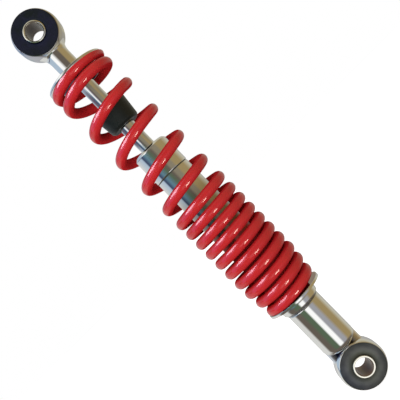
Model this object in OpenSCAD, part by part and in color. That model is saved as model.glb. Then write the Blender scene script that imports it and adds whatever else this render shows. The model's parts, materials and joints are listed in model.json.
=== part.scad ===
// Rear shock absorber: a sprung hydraulic damper with a rubber-bushed eye at each end.
// The lower eye's centre is the origin, +Z runs up to the upper eye, and both bores lie along Y.

/* [Length] */
// Distance between the two eye centres at full length
eye_span = 300; // [270:1:330]
// Length of rod that shows between the gland cap and the upper spring seat at full length
rod_show = 66.8; // [60:0.1:72]

/* [Eyes] */
// Bore of each steel sleeve
bore_d = 12.2; // [8:0.1:12.6]
// Outside diameter of each steel sleeve
sleeve_d = 14.6; // [14:0.1:18]
// Length of each steel sleeve
sleeve_len = 21.8; // [20:0.1:30]
// Length of each rubber bush over its two faces
bush_len = 19.2; // [18.2:0.1:19.8]
// Diameter of each rubber bush's faces
bush_face_d = 30.4; // [28:0.1:30.8]
// Depth of the groove in a bush's face, round the sleeve
bush_groove = 1; // [0.4:0.1:2]
// Outside diameter of each eye ring
ring_d = 33.2; // [31.5:0.1:36]
// Bore of each eye ring
ring_bore = 26; // [22:0.1:27]
// Width of each eye ring
ring_w = 17.6; // [15:0.1:18]
// Depth of the taper at an eye ring's edges
ring_edge = 1.1; // [0.4:0.1:1.6]
// Length of the taper at an eye ring's edges
ring_edge_len = 3.2; // [1:0.1:5]
// Diameter of the upper eye's neck
neck_d = 15; // [13:0.1:15.2]
// Distance from the upper eye's centre to the end of its neck
neck_len = 34.4; // [32:0.1:40]
// Radius of the hollow flare where the neck meets the ring
flare_r = 14; // [8:0.5:20]
// How far the neck flares out at the ring
flare_w = 1.2; // [0.4:0.1:1.2]
// Length of the weld on the lower eye, across the bore
weld_len = 24.2; // [20:0.1:24.4]
// Width of the weld on the lower eye, along the bore
weld_w = 14; // [10:0.1:15]
// Height of the weld above the damper tube's bottom
weld_h = 2.2; // [1:0.1:3]

/* [Damper body] */
// Outside diameter of the damper tube
tube_d = 25.1; // [24.6:0.1:26]
// Wall of the damper tube
tube_wall = 1.5; // [1:0.1:1.7]
// Radius of the damper tube's rounded bottom
tube_round = 5.5; // [3:0.1:6]
// Depth that the damper tube's bottom is let into the lower eye's ring
tube_sink = 0.4; // [0.1:0.1:1.2]
// Thickness of the damper tube's floor
tube_floor = 3; // [2:0.1:5]
// Height of the gland cap above its seam
cap_h = 21.3; // [20:0.1:26]
// Outside diameter of the gland cap
cap_d = 25.6; // [24.8:0.1:27]
// Chamfer of the gland cap's top edge
cap_chamfer = 1.6; // [0.5:0.1:2.5]
// Depth that the gland cap's spigot reaches into the damper tube
spigot_len = 13; // [10:0.1:16]
// Thickness of the ring in the gland cap's seam
seam_t = 1; // [0.6:0.1:1.6]
// How far the seam's ring lies inside the tube's surface
seam_depth = 0.45; // [0.2:0.05:0.7]

/* [Rod and valves] */
// Diameter of the piston rod
rod_d = 11; // [9:0.1:11.4]
// Diameter of the rod's end inside the piston
rod_end_d = 8; // [6:0.1:8.4]
// Length of the rod's end under the piston nut
rod_tail = 0.5; // [0.2:0.1:2]
// Length of thread in the upper eye's neck
thread_len = 14.5; // [8:0.1:14.8]
// Width of the lock nut across its flats
nut_w = 17; // [15:0.5:19]
// Height of the lock nut
nut_h = 5; // [4:0.1:5.6]
// Outside diameter of the rod seal and its washer
seal_d = 17; // [15:0.1:17.6]
// Height of the rod seal
seal_h = 7; // [5:0.1:8]
// Depth of the hollow under the rod seal's lip
seal_hollow = 2.4; // [1:0.1:4]
// Width of the hollow under the rod seal's lip
seal_hollow_w = 1.2; // [0.5:0.1:2]
// Thickness of the washer under the rod seal
washer_t = 1.5; // [1:0.1:2]
// Outside diameter of the dust wiper
wiper_d = 15; // [14:0.1:18]
// Height of the dust wiper's seat in the gland cap
wiper_h = 4.5; // [3:0.1:5]
// Height of the dust wiper's lip above the gland cap
wiper_lip = 0.4; // [0.2:0.1:1.2]
// Thickness of the gland cap between the dust wiper and the rod seal
gland_web = 4; // [2.5:0.1:5]
// Thickness of the rod guide's flange
guide_flange = 3; // [2:0.1:5]
// Outside diameter of the inner cylinder
inner_d = 20.8; // [20.4:0.1:21]
// Wall of the inner cylinder
inner_wall = 1; // [0.8:0.1:1.3]
// Height of the piston
piston_h = 11; // [9:0.1:14]
// Distance from the rod guide down to the piston's upper shims at full length
piston_drop = 26; // [22:0.1:34]
// Height of each stack of shims
shim_h = 1.6; // [1:0.1:2.4]
// Diameter of each stack of shims
shim_d = 14; // [12:0.1:16]
// Height of the piston nut
piston_nut_h = 6.5; // [5:0.1:8]
// Width of the piston nut across its flats
piston_nut_w = 13; // [11:0.5:14]
// Height of the rebound stop
rebound_h = 11.5; // [8:0.1:14]
// Diameter of the rebound stop
rebound_d = 16.6; // [14:0.1:17.4]
// Thickness of the rebound clip
clip_t = 1.4; // [1:0.1:2]
// Height of the foot valve's base above its rounded edge
foot_h = 2.2; // [1:0.1:4]
// How much larger the foot valve's rounded edge is than the tube's inner corner
foot_relief = 0.6; // [0.3:0.1:1.5]
// Height of the foot valve's spigot inside the inner cylinder
foot_spigot = 5; // [3:0.1:7]
// Thickness of the foot valve's disc
disc_t = 1.2; // [0.8:0.1:2]
// Diameter of the foot valve's disc
disc_d = 15; // [13:0.1:17]
// Diameter of the hole in the foot valve's disc
disc_hole = 4.6; // [3:0.1:6]
// Diameter of the ports through the foot valve
foot_port_d = 2.4; // [1.5:0.1:3]
// Width of the channel across the foot valve's base
foot_channel = 4; // [2:0.1:6]
// Depth of the channel across the foot valve's base
foot_channel_h = 3.4; // [2:0.1:4.5]
// Diameter of the ports through the piston
piston_port_d = 2.2; // [1.5:0.1:3]
// Height of the piston's band
band_h = 3.6; // [2:0.1:6]
// Thickness of the piston's band
band_t = 0.8; // [0.5:0.1:1.2]
// Depth of the rod's groove for the rebound clip
clip_groove = 0.6; // [0.3:0.1:0.9]
// How far the rebound clip stands out from the rod
clip_out = 1.2; // [0.8:0.1:2]

/* [Spring and seats] */
// Diameter of the spring's wire
wire_d = 7.3; // [6:0.1:7.5]
// Outside diameter of the spring
spring_d = 46.6; // [45:0.1:48]
// Outside diameter of the spring's last coil
spring_end_d = 40.5; // [40.2:0.1:43]
// Number of turns in the spring
spring_turns = 16; // [14:0.1:16.4]
// Gap between the spring's closed end coils
closed_gap = 0.3; // [0.25:0.05:1.5]
// Gap between the spring's close-wound coils
close_gap = 1.75; // [1.5:0.05:2.8]
// How far the wire's middle would pass the seats at the spring's ground ends
ground_h = 1.2; // [0:0.1:1.2]
// Angle about the shock's length at which the spring's wire starts
wire_start = 57; // [0:1:359]
// Turns from the spring's top where the closed coils start to open
closed_end = 0.95; // [0.9:0.05:1.5]
// Turns from the spring's top where the wide coils reach their full pitch
wide_start = 2.15; // [1.8:0.05:2.6]
// Turns from the spring's top where the wide coils start to close up
wide_end = 4.35; // [3.5:0.05:5]
// Turns from the spring's top where the close-wound coils start
close_start = 6.75; // [6:0.05:8.5]
// Turns at the spring's foot over which it draws in
taper_turns = 2.65; // [1.5:0.05:4]
// Diameter of the upper spring seat
upper_seat_d = 44.6; // [43:0.1:48]
// Thickness of the upper spring seat
upper_seat_t = 2; // [1.2:0.1:3]
// Depth of the upper spring seat's spigot inside the spring
locator_h = 5.8; // [5.6:0.1:8]
// Wall of the upper spring seat's spigot
locator_wall = 1.6; // [1:0.1:2]
// Gap between the spring and the upper spring seat's spigot
locator_gap = 0.8; // [0.4:0.1:1.5]
// Height of the lower spring seat's face above the lower eye
lower_seat_top = 62.9; // [58:0.1:70]
// Diameter of the lower spring seat's flange
lower_seat_d = 41.8; // [41:0.1:46]
// Thickness of the lower spring seat's flange
lower_seat_t = 1.7; // [1.4:0.1:3]
// Diameter of the lower spring seat's collar
collar_d = 28.4; // [28:0.1:33]
// Height of the lower spring seat's collar under its flange
collar_h = 6.3; // [4:0.1:9]
// Chamfer of the collar's lower edge
collar_chamfer = 0.9; // [0.3:0.1:1.2]
// Diameter of the snap ring's wire
snap_d = 1.4; // [1.2:0.1:2.2]
// Depth of the snap ring's groove in the damper tube
snap_groove = 0.45; // [0.2:0.05:0.6]
// Angle of the snap ring's gap
snap_gap_angle = 30; // [10:1:60]

/* [Bump stop] */
// Distance from the gland cap up to the bump stop at full length
bump_gap = 21; // [20:0.1:24]
// Height of the bump stop
bump_h = 15.7; // [12:0.1:20]
// Diameter of the bump stop's upper end
bump_top_d = 25.4; // [22:0.1:26.5]
// Diameter of the bump stop's lower end, before its chamfer
bump_low_d = 22; // [18:0.1:25]
// Chamfer of the bump stop's lower edge
bump_chamfer = 1.2; // [0.5:0.1:2.5]

/* [Clearances] */
// Radial clearance of parts that slide or turn on each other
run = 0.06; // [0.02:0.01:0.1]
// Radial clearance of parts that are pressed, screwed or moulded together
fit = 0.02; // [0.01:0.01:0.05]
// Clearance between the spring and its seats, and between the seat and its snap ring
seat_gap = 0.05; // [0.02:0.01:0.2]
// Radial clearance of the rod in the gland cap's web
web_gap = 0.3; // [0.15:0.05:0.6]
// Gap between the rebound stop and the rod guide at full length
stop_gap = 0.3; // [0.1:0.1:1]

/* [Hidden] */
$fn = 96;
cut = 1;

tube_r = tube_d / 2;
tube_bore_r = tube_r - tube_wall;
tube_base = ring_d / 2 - tube_sink;
neck_end = eye_span - neck_len;
upper_seat_base = neck_end - upper_seat_t;
cap_top = upper_seat_base - rod_show;
cap_base = cap_top - cap_h;
tube_top = cap_base - seam_t;
spigot_base = tube_top - spigot_len;
guide_base = spigot_base - guide_flange;
wiper_base = cap_top - wiper_h;
wiper_r = wiper_d / 2;
seal_top = wiper_base - gland_web;
seal_base = seal_top - seal_h;
washer_base = seal_base - washer_t;

rod_r = rod_d / 2;
rod_end_r = rod_end_d / 2;
rod_run_r = rod_r + run;
rod_fit_r = rod_r + fit;
rod_end_fit_r = rod_end_r + fit;

rod_top = neck_end + thread_len;
locator_r = spring_d / 2 - wire_d - locator_gap;

inner_r = inner_d / 2 - inner_wall;
floor_z = tube_base + tube_floor;
tube_corner = tube_round - tube_wall;
foot_corner = tube_corner + foot_relief;
foot_top = floor_z + foot_corner + foot_h;
disc_base = foot_top + foot_spigot;

rebound_top = guide_base - stop_gap;
rebound_base = rebound_top - rebound_h;
clip_base = rebound_base - clip_t;
shim_top = guide_base - piston_drop;
piston_top = shim_top - shim_h;
piston_base = piston_top - piston_h;
lower_shim_base = piston_base - shim_h;
piston_nut_base = lower_shim_base - piston_nut_h;
rod_base = piston_nut_base - rod_tail;
band_base = (piston_base + piston_top - band_h) / 2;
piston_r = inner_r - run;

bump_base = cap_top + bump_gap;
bump_top = bump_base + bump_h;

collar_base = lower_seat_top - lower_seat_t - collar_h;
seat_bore_r = tube_r + run;
snap_r = snap_d / 2;
snap_z = collar_base - seat_gap - snap_r;
snap_ring_r = tube_r + snap_r - snap_groove;

spring_top = upper_seat_base - seat_gap;
spring_base = lower_seat_top + seat_gap;
coil_r = (spring_d - wire_d) / 2;
end_coil_r = (spring_end_d - wire_d) / 2;
rings_per_turn = 16;
wire_sides = 8;
// Small part of a turn, to find the wire's direction
turn_step = 0.001;

// Turned piece from an outline of [radius, height] points
module turned(outline) {
    rotate_extrude() polygon(outline);
}

// Round ring between two radii and two heights
module ring(inner, outer, low, high) {
    turned([[inner, low], [outer, low], [outer, high], [inner, high]]);
}

// Places its children in an eye whose bore lies along Y
module in_eye(height) {
    translate([0, 0, height]) rotate([90, 0, 0]) children();
}

// Eye ring with tapered edges, before its bore
module eye_ring_blank() {
    edge_r = ring_d / 2 - ring_edge;
    half = ring_w / 2;
    turned([
        [0, -half], [edge_r, -half], [ring_d / 2, ring_edge_len - half],
        [ring_d / 2, half - ring_edge_len], [edge_r, half], [0, half]
    ]);
}

module eye_bore() {
    cylinder(r = ring_bore / 2, h = ring_w + 2 * cut, center = true);
}

// Rubber bush: a lining for the ring with a lip over each of its faces and a groove round the sleeve
module bush() {
    inner = sleeve_d / 2 + run;
    lining = ring_bore / 2 - fit;
    groove_r = inner + bush_groove;
    lip = bush_face_d / 2;
    half_ring = ring_w / 2 + fit;
    half = bush_len / 2;
    floor_y = half - bush_groove;
    turned([
        [inner, -floor_y], [groove_r, -half], [lip, -half], [lip, -half_ring],
        [lining, -half_ring], [lining, half_ring], [lip, half_ring], [lip, half],
        [groove_r, half], [inner, floor_y]
    ]);
}

module sleeve() {
    ring(bore_d / 2, sleeve_d / 2, -sleeve_len / 2, sleeve_len / 2);
}

// Round bar with a rounded bottom edge, standing on base
module rounded_bar(radius, corner, base, top) {
    rotate_extrude() {
        translate([0, base]) square([radius - corner, top - base]);
        translate([0, base + corner]) square([radius, top - base - corner]);
        translate([radius - corner, base + corner])
            intersection() {
                circle(r = corner);
                translate([0, -corner]) square(corner);
            }
    }
}

module snap_ring_wire(wire_r) {
    rotate_extrude() translate([snap_ring_r, snap_z]) circle(r = wire_r, $fn = 32);
}

module lower_eye() {
    weld_top = tube_base + weld_h;
    color("silver") difference() {
        union() {
            in_eye(0) eye_ring_blank();
            intersection() {
                cylinder(d = weld_len, h = weld_top);
                translate([-weld_len / 2, -weld_w / 2, 0]) cube([weld_len, weld_w, weld_top]);
            }
        }
        in_eye(0) eye_bore();
        rounded_bar(tube_r, tube_round, tube_base, tube_top);
    }
}

module lower_bush() {
    color("dimgray") in_eye(0) bush();
}

module lower_sleeve() {
    color("gainsboro") in_eye(0) sleeve();
}

module body_tube() {
    color("silver") difference() {
        rounded_bar(tube_r, tube_round, tube_base, tube_top);
        rounded_bar(tube_bore_r, tube_corner, floor_z, tube_top + cut);
        snap_ring_wire(snap_r + fit);
    }
}

module foot_valve() {
    ports = 4;
    port_circle = (disc_d + disc_hole) / 4;
    color("darkgoldenrod") difference() {
        union() {
            rounded_bar(tube_bore_r - fit, foot_corner, floor_z, foot_top);
            translate([0, 0, floor_z + foot_corner]) cylinder(r = inner_r - fit, h = foot_h + foot_spigot);
        }
        translate([-tube_r, -foot_channel / 2, floor_z - cut])
            cube([tube_d, foot_channel, foot_channel_h + cut]);
        for (i = [0:ports - 1])
            rotate([0, 0, 360 * i / ports]) translate([port_circle, 0, floor_z])
                cylinder(d = foot_port_d, h = disc_base);
    }
}

module foot_disc() {
    color("silver") ring(disc_hole / 2, disc_d / 2, disc_base, disc_base + disc_t);
}

module inner_cylinder() {
    color("lightsteelblue") ring(inner_r, inner_d / 2, foot_top, spigot_base);
}

module gland_cap() {
    outer = cap_d / 2;
    seal_bore = seal_d / 2 + fit;
    web_bore = rod_r + web_gap;
    color("silver") turned([
        [seal_bore, spigot_base], [tube_bore_r - fit, spigot_base], [tube_bore_r - fit, cap_base],
        [outer, cap_base], [outer, cap_top - cap_chamfer], [outer - cap_chamfer, cap_top],
        [wiper_r + fit, cap_top], [wiper_r + fit, wiper_base], [web_bore, wiper_base],
        [web_bore, seal_top], [seal_bore, seal_top]
    ]);
}

module body_o_ring() {
    color("black") ring(tube_bore_r, tube_r - seam_depth, tube_top, cap_base);
}

module rod_guide() {
    color("peru") turned([
        [rod_run_r, guide_base], [inner_r - fit, guide_base], [inner_r - fit, spigot_base],
        [seal_d / 2, spigot_base], [seal_d / 2, washer_base], [rod_run_r, washer_base]
    ]);
}

module seal_washer() {
    color("silver") ring(rod_run_r + run, seal_d / 2, washer_base, seal_base);
}

module rod_seal() {
    color("black") turned([
        [rod_run_r + seal_hollow_w, seal_base], [seal_d / 2, seal_base], [seal_d / 2, seal_top],
        [rod_run_r, seal_top], [rod_run_r, seal_base + seal_hollow]
    ]);
}

module dust_wiper() {
    color("black") turned([
        [rod_run_r + run, wiper_base], [wiper_r, wiper_base], [wiper_r, cap_top],
        [rod_run_r + wiper_lip, cap_top + wiper_lip], [rod_run_r, cap_top + wiper_lip],
        [rod_run_r, cap_top]
    ]);
}

module seat_snap_ring() {
    reach = snap_ring_r + snap_d;
    half_gap = reach * sin(snap_gap_angle / 2);
    color("silver") difference() {
        snap_ring_wire(snap_r);
        translate([-half_gap, 0, snap_z - snap_d]) cube([2 * half_gap, reach, 2 * snap_d]);
    }
}

module lower_spring_seat() {
    flange_base = lower_seat_top - lower_seat_t;
    color("silver") turned([
        [seat_bore_r, collar_base], [collar_d / 2 - collar_chamfer, collar_base],
        [collar_d / 2, collar_base + collar_chamfer], [collar_d / 2, flange_base],
        [lower_seat_d / 2, flange_base], [lower_seat_d / 2, lower_seat_top],
        [seat_bore_r, lower_seat_top]
    ]);
}

// Height lost over a stretch of the spring from turn a to turn b, as its pitch goes from p to q
function stretch_drop(turn, a, b, p, q) =
    let (run_turns = max(0, min(turn, b) - a))
    p * run_turns + (q - p) * run_turns * run_turns / (2 * (b - a));

closed_pitch = wire_d + closed_gap;
close_pitch = wire_d + close_gap;
end_pitch = wire_d + (closed_gap + close_gap) / 2;
end_start = spring_turns - 1;

// Height lost from the spring's start to a turn, for a given pitch of its wide coils
function coil_drop(turn, wide) =
    stretch_drop(turn, 0, closed_end, closed_pitch, closed_pitch)
    + stretch_drop(turn, closed_end, wide_start, closed_pitch, wide)
    + stretch_drop(turn, wide_start, wide_end, wide, wide)
    + stretch_drop(turn, wide_end, close_start, wide, close_pitch)
    + stretch_drop(turn, close_start, end_start, close_pitch, close_pitch)
    + stretch_drop(turn, end_start, spring_turns, close_pitch, end_pitch);

// The wide pitch is what makes the coils fill the room between the seats
wire_fall = spring_top - spring_base + 2 * ground_h;
fixed_fall = coil_drop(spring_turns, 0);
wide_pitch = (wire_fall - fixed_fall) / (coil_drop(spring_turns, 1) - fixed_fall);

// Radius of the wire's middle at a turn: the last coils draw in
function coil_radius(turn) =
    let (taper = max(0, turn - spring_turns + taper_turns) / taper_turns)
    coil_r + (end_coil_r - coil_r) * taper;

function coil_middle(turn) =
    let (angle = wire_start - 360 * turn, radius = coil_radius(turn))
    [radius * cos(angle), radius * sin(angle), spring_top + ground_h - coil_drop(turn, wide_pitch)];

function unit(v) = v / norm(v);

last_ring = ceil(spring_turns * rings_per_turn);
middles = [for (k = [0:last_ring]) coil_middle(spring_turns * k / last_ring)];

// Ring of points round the wire, with what lies past the seats ground flat
function wire_ring(k) =
    let (
        turn = spring_turns * k / last_ring,
        angle = wire_start - 360 * turn,
        out = [cos(angle), sin(angle), 0],
        along = unit(coil_middle(turn + turn_step) - coil_middle(turn - turn_step)),
        side = unit(cross(out, along))
    )
    [for (j = [0:wire_sides - 1])
        let (
            a = 360 * (j + 0.5) / wire_sides,
            p = middles[k] + wire_d / 2 * (cos(a) * out + sin(a) * side)
        )
        [p.x, p.y, max(spring_base, min(spring_top, p.z))]];

wire_points = [for (k = [0:last_ring]) each wire_ring(k)];
wire_faces = concat(
    [for (j = [1:wire_sides - 2]) [0, j, j + 1]],
    [for (k = [0:last_ring - 1], j = [0:wire_sides - 1])
        let (a = k * wire_sides + j, b = k * wire_sides + (j + 1) % wire_sides)
        each [[a, a + wire_sides, b], [b, a + wire_sides, b + wire_sides]]],
    [for (j = [1:wire_sides - 2])
        let (first = last_ring * wire_sides)
        [first, first + j + 1, first + j]]
);

// Least gap from the wire to itself, between rings about one turn apart
near_turn = floor(rings_per_turn / 2);
spring_gap = min([
    for (k = [0:last_ring - near_turn], m = [near_turn:3 * near_turn])
        if (k + m <= last_ring) norm(middles[k] - middles[k + m]) - wire_d
]);
echo(str("least gap between the spring's coils, mm: ", spring_gap, ", wide pitch: ", wide_pitch));

module main_spring() {
    color("firebrick") polyhedron(points = wire_points, faces = wire_faces, convexity = 20);
}

module piston_rod() {
    groove_r = rod_r - clip_groove;
    color("gainsboro") turned([
        [0, rod_base], [rod_end_r, rod_base], [rod_end_r, shim_top], [rod_r, shim_top],
        [rod_r, clip_base], [groove_r, clip_base], [groove_r, rebound_base],
        [rod_r, rebound_base], [rod_r, rod_top], [0, rod_top]
    ]);
}

module rebound_stop() {
    color("ivory") ring(rod_fit_r, rebound_d / 2, rebound_base, rebound_top);
}

module rebound_clip() {
    color("dimgray") ring(rod_r - clip_groove + fit, rod_r + clip_out, clip_base + fit, rebound_base);
}

module rebound_shims() {
    color("silver") ring(rod_end_fit_r, shim_d / 2, piston_top, shim_top);
}

module piston() {
    ports = 6;
    groove_r = piston_r - band_t;
    band_top = band_base + band_h;
    port_circle = (rod_end_r + piston_r) / 2;
    color("slategray") difference() {
        turned([
            [rod_end_fit_r, piston_base], [piston_r, piston_base], [piston_r, band_base],
            [groove_r, band_base], [groove_r, band_top], [piston_r, band_top],
            [piston_r, piston_top], [rod_end_fit_r, piston_top]
        ]);
        for (i = [0:ports - 1])
            rotate([0, 0, 360 * i / ports]) translate([port_circle, 0, piston_base - cut])
                cylinder(d = piston_port_d, h = piston_h + 2 * cut);
    }
}

module piston_band() {
    color("tan") ring(piston_r - band_t + fit, piston_r, band_base + fit, band_base + band_h - fit);
}

module compression_shims() {
    color("silver") ring(rod_end_fit_r, shim_d / 2, lower_shim_base, piston_base);
}

// Six-sided nut with a plain bore in place of its thread
module hex_nut(width, height, bore_r, base) {
    translate([0, 0, base]) difference() {
        cylinder(d = width / cos(30), h = height, $fn = 6);
        translate([0, 0, -cut]) cylinder(r = bore_r, h = height + 2 * cut);
    }
}

module piston_nut() {
    color("silver") hex_nut(piston_nut_w, piston_nut_h, rod_end_fit_r, piston_nut_base);
}

module bump_stop() {
    low_r = bump_low_d / 2;
    color("black") turned([
        [rod_run_r, bump_base], [low_r - bump_chamfer, bump_base], [low_r, bump_base + bump_chamfer],
        [bump_top_d / 2, bump_top], [rod_run_r, bump_top]
    ]);
}

module upper_spring_seat() {
    locator_base = upper_seat_base - locator_h;
    color("silver") turned([
        [rod_fit_r, upper_seat_base], [locator_r - locator_wall, upper_seat_base],
        [locator_r - locator_wall, locator_base], [locator_r, locator_base],
        [locator_r, upper_seat_base], [upper_seat_d / 2, upper_seat_base],
        [upper_seat_d / 2, neck_end], [rod_fit_r, neck_end]
    ]);
}

module rod_lock_nut() {
    color("silver") hex_nut(nut_w, nut_h, rod_fit_r, upper_seat_base - nut_h);
}

module upper_eye() {
    neck_r = neck_d / 2;
    // Height at which a hollow of this radius that lies against the ring leaves the neck
    flare_base = eye_span - sqrt(pow(ring_d / 2 + flare_r, 2) - pow(neck_r + flare_r, 2));
    color("silver") difference() {
        union() {
            in_eye(eye_span) eye_ring_blank();
            ring(0, neck_r, neck_end, eye_span);
            rotate_extrude() difference() {
                translate([0, flare_base]) square([neck_r + flare_w, eye_span - flare_base]);
                translate([neck_r + flare_r, flare_base]) circle(r = flare_r);
            }
        }
        in_eye(eye_span) eye_bore();
        translate([0, 0, neck_end - cut]) cylinder(r = rod_fit_r, h = thread_len + cut);
    }
}

module upper_bush() {
    color("dimgray") in_eye(eye_span) bush();
}

module upper_sleeve() {
    color("gainsboro") in_eye(eye_span) sleeve();
}

lower_eye();
lower_bush();
lower_sleeve();
body_tube();
foot_valve();
foot_disc();
inner_cylinder();
gland_cap();
body_o_ring();
rod_guide();
seal_washer();
rod_seal();
dust_wiper();
seat_snap_ring();
lower_spring_seat();
main_spring();
piston_rod();
rebound_stop();
rebound_clip();
rebound_shims();
piston();
piston_band();
compression_shims();
piston_nut();
bump_stop();
upper_spring_seat();
rod_lock_nut();
upper_eye();
upper_bush();
upper_sleeve();
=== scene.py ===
import json
import math

import bpy
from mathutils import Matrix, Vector


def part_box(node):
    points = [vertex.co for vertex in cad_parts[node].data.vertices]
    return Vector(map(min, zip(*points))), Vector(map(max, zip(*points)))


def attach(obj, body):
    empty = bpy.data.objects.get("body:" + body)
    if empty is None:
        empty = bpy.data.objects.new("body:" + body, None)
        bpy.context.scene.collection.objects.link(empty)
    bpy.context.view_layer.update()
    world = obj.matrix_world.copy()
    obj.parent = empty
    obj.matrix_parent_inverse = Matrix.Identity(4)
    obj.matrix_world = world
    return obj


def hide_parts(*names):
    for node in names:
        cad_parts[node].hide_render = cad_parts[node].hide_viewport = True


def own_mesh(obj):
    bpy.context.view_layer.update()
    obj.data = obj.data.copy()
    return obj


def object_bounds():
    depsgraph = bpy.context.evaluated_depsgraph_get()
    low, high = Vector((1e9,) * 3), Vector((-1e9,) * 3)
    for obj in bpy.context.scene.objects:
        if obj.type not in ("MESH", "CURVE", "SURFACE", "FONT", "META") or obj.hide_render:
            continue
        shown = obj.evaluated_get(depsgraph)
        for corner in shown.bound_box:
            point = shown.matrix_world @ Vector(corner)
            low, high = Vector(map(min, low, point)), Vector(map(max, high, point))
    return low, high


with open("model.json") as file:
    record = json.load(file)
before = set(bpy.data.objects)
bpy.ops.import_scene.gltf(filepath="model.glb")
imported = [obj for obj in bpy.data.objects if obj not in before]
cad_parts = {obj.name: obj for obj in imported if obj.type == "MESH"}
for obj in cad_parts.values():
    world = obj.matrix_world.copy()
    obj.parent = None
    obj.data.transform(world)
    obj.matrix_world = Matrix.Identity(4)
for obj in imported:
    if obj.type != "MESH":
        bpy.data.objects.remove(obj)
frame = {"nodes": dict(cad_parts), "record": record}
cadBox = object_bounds()
mm = 0.001
nodes = frame["nodes"]
eyeAt = {m["name"]: Vector(m["pos_m"]) for m in frame["record"]["mounts"]}
print("frame loaded:", len(nodes), "CAD nodes")


# Small helpers for working as by hand

def startFresh():
    if bpy.context.mode != "OBJECT":
        bpy.ops.object.mode_set(mode="OBJECT")
    bpy.ops.object.select_all(action="DESELECT")


def pick(piece):
    startFresh()
    piece.select_set(True)
    bpy.context.view_layer.objects.active = piece


def tidyMesh(mergeBy=0.001 * mm):
    bpy.ops.mesh.select_all(action="SELECT")
    bpy.ops.mesh.remove_doubles(threshold=mergeBy)
    bpy.ops.mesh.normals_make_consistent(inside=False)


def roundEdges(piece, width, segments=3, fromAngle=30):
    pick(piece)
    bpy.ops.object.modifier_add(type="BEVEL")
    bevel = piece.modifiers[-1]
    bevel.width = width
    bevel.segments = segments
    bevel.limit_method = "ANGLE"
    bevel.angle_limit = math.radians(fromAngle)
    bevel.use_clamp_overlap = True
    bpy.ops.object.modifier_apply(modifier=bevel.name)


def shadeSmooth(piece, upTo=38):
    pick(piece)
    bpy.ops.object.mode_set(mode="EDIT")
    tidyMesh()
    bpy.ops.object.mode_set(mode="OBJECT")
    bpy.ops.object.shade_smooth_by_angle(angle=math.radians(upTo))


heldBy = 0.7 * mm


def turnPiece(name, outline, along="Z", at=(0, 0, 0), steps=128):
    # outline: (radius, place along the axis); it is drawn as an edge chain and spun a full turn
    axis = Vector((0, 0, 1)) if along == "Z" else Vector((0, 1, 0))
    corners = [Vector((radius, 0, 0)) + axis * place for radius, place in outline]
    spots = corners[:1]
    for here, there in zip(corners, corners[1:]):
        stretch = there - here
        if stretch.length > 4 * heldBy:
            # support loops keep a long side flat where its ends are shaded smooth
            spots += [here + stretch.normalized() * heldBy, there - stretch.normalized() * heldBy]
        spots.append(there)
    startFresh()
    bpy.ops.mesh.primitive_plane_add(size=mm)
    piece = bpy.context.object
    piece.name = piece.data.name = name
    bpy.ops.object.mode_set(mode="EDIT")
    bpy.ops.mesh.merge(type="CENTER")
    bpy.ops.transform.translate(value=spots[0])
    for here, there in zip(spots, spots[1:]):
        bpy.ops.mesh.extrude_region_move(TRANSFORM_OT_translate={"value": there - here})
    bpy.ops.mesh.select_all(action="SELECT")
    bpy.ops.mesh.spin(steps=steps, angle=math.tau, center=(0, 0, 0), axis=axis)
    tidyMesh()
    bpy.ops.transform.translate(value=at)
    bpy.ops.object.mode_set(mode="OBJECT")
    return piece


def arcSpots(middle, radius, start, end, count=8):
    # points on an arc of an outline, angles in degrees from the radius direction
    turns = [math.radians(start + (end - start) * k / count) for k in range(count + 1)]
    return [(middle[0] + radius * math.cos(a), middle[1] + radius * math.sin(a)) for a in turns]


def closeLoop(outline):
    return outline + outline[:1]


def finishPiece(piece, body, slot, finish, *replaced):
    piece.data.materials.clear()
    piece.data.materials.append(finish)
    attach(piece, body)
    if replaced:
        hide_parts(*replaced)


# Finishes

def shaderOf(finish):
    return finish.node_tree.nodes["Principled BSDF"]


def newFinish(name, **values):
    finish = bpy.data.materials.new(name)
    finish.use_nodes = True
    shader = shaderOf(finish)
    for socket, value in values.items():
        shader.inputs[socket.replace("_", " ")].default_value = value
    return finish, shader


def addNode(tree, kind, **values):
    node = tree.nodes.new(kind)
    for key, value in values.items():
        if key in node.inputs:
            node.inputs[key].default_value = value
        else:
            setattr(node, key, value)
    return node


def noiseField(finish, scale, stretch=(1, 1, 1), detail=3.0):
    tree = finish.node_tree
    coords = addNode(tree, "ShaderNodeTexCoord")
    mapping = addNode(tree, "ShaderNodeMapping", Scale=stretch)
    noise = addNode(tree, "ShaderNodeTexNoise", Scale=scale, Detail=detail)
    tree.links.new(coords.outputs["Object"], mapping.inputs["Vector"])
    tree.links.new(mapping.outputs["Vector"], noise.inputs["Vector"])
    return noise.outputs["Fac"]


def spread(finish, field, low, high, fromLow=0.3, fromHigh=0.7):
    tree = finish.node_tree
    remap = addNode(tree, "ShaderNodeMapRange")
    for socket, value in zip(("From Min", "From Max", "To Min", "To Max"), (fromLow, fromHigh, low, high)):
        remap.inputs[socket].default_value = value
    tree.links.new(field, remap.inputs["Value"])
    return remap.outputs["Result"]


def blendColours(finish, field, first, second):
    tree = finish.node_tree
    mix = addNode(tree, "ShaderNodeMix", data_type="RGBA")
    mix.inputs[6].default_value = (*first, 1)
    mix.inputs[7].default_value = (*second, 1)
    tree.links.new(field, mix.inputs["Factor"])
    return mix.outputs[2]


def roughen(finish, shader, field, strength, depth):
    tree = finish.node_tree
    bump = addNode(tree, "ShaderNodeBump", Strength=strength, Distance=depth)
    tree.links.new(field, bump.inputs["Height"])
    tree.links.new(bump.outputs["Normal"], shader.inputs["Normal"])


def placeField(finish, axis, low, high):
    # 0 below low and 1 above high, along an axis of the object
    tree = finish.node_tree
    split = addNode(tree, "ShaderNodeSeparateXYZ")
    tree.links.new(addNode(tree, "ShaderNodeTexCoord").outputs["Object"], split.inputs[0])
    return spread(finish, split.outputs[axis], 0, 1, low, high)


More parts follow.
